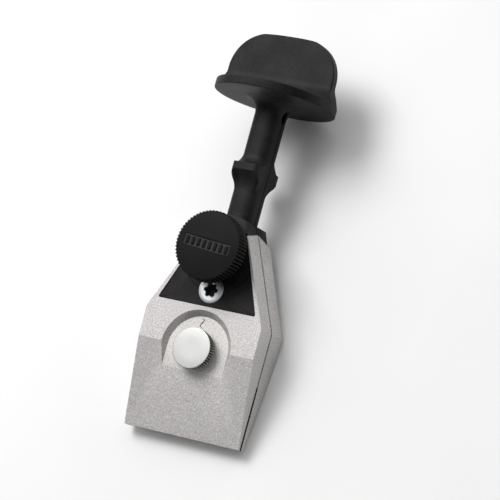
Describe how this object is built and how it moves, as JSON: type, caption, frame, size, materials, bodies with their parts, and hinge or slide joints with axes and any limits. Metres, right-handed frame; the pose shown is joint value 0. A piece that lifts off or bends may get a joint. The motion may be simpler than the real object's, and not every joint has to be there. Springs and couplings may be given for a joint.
{
  "type": "knife sharpening jig",
  "caption": "Hand-held knife clamping jig with a slit springy handle, stop disc, thumb tab, hinged twin jaws, an adjusting knob and a locking knob.",
  "frame": {"origin": "middle of the underside of the round stop disc, on the plane where the tool is slit in two", "axes": "+Y along the tool towards the thumb tab, +X across the jaws, +Z out of the side that carries the two knobs"},
  "size_m": [0.045, 0.1431, 0.043],
  "materials": {
    "handle": "fine moulded grain",
    "zinc": "bead blasted",
    "pad": "matte",
    "steel": "zinc plated",
    "knob_metal": "turned",
    "knob_plastic": "matte",
    "brass": "machined"
  },
  "bodies": {
    "head": {"handle_head": "handle"},
    "front_arm": {"front_handle_arm": "handle", "front_jaw": "zinc", "front_jaw_pad": "pad", "front_jaw_screw": "steel", "locking_insert": "brass"},
    "rear_arm": {"rear_handle_arm": "handle", "rear_jaw": "zinc", "rear_jaw_pad": "pad", "rear_jaw_screw": "steel", "locking_anvil": "steel"},
    "adjusting_saddle": {"adjusting_saddle": "steel"},
    "adjusting_nut": {"adjusting_nut": "steel"},
    "adjusting_knob": {"adjusting_knob": "knob_metal", "adjusting_screw": "steel"},
    "locking_shoe": {"locking_shoe": "steel"},
    "locking_knob": {"locking_knob": "knob_plastic", "locking_screw": "steel"}
  },
  "joints": [
    {"name": "front_arm_flex", "type": "hinge", "parent": "head", "child": "front_arm", "pos_m": [0, -0.0034, 0.00318], "axis": [-1, 0, 0], "range_deg": [0, 1.2]},
    {"name": "rear_arm_flex", "type": "hinge", "parent": "head", "child": "rear_arm", "pos_m": [0, -0.0034, -0.00318], "axis": [1, 0, 0], "range_deg": [0, 1.2]},
    {"name": "adjusting_saddle_shift", "type": "slide", "parent": "head", "child": "adjusting_saddle", "axis": [0, 0.0429, 0.9991], "range_m": [0, 0.00182]},
    {"name": "adjusting_nut_shift", "type": "slide", "parent": "head", "child": "adjusting_nut", "axis": [0, 0.0429, -0.9991], "range_m": [0, 0.00182]},
    {"name": "adjusting_knob_turn", "type": "hinge", "parent": "adjusting_saddle", "child": "adjusting_knob", "pos_m": [0, -0.0902, 0.009], "axis": [0, 0, 1], "range_deg": [0, 1635]},
    {"name": "locking_shoe_slide", "type": "slide", "parent": "front_arm", "child": "locking_shoe", "axis": [0, 0, 1], "range_m": [0, 0.003]},
    {"name": "locking_knob_turn", "type": "hinge", "parent": "locking_shoe", "child": "locking_knob", "pos_m": [0, -0.056, 0.016], "axis": [0, 0, 1], "range_deg": [0, 864]}
  ],
  "couplings": [
    {"joint": "front_arm_flex", "follows": "adjusting_knob_turn", "ratio": 0.00073394},
    {"joint": "rear_arm_flex", "follows": "adjusting_knob_turn", "ratio": 0.00073394},
    {"joint": "adjusting_saddle_shift", "follows": "adjusting_knob_turn", "m_per_rad": 0.000063739},
    {"joint": "adjusting_nut_shift", "follows": "adjusting_knob_turn", "m_per_rad": 0.000063739},
    {"joint": "locking_shoe_slide", "follows": "locking_knob_turn", "m_per_rad": 0.00019894}
  ]
}
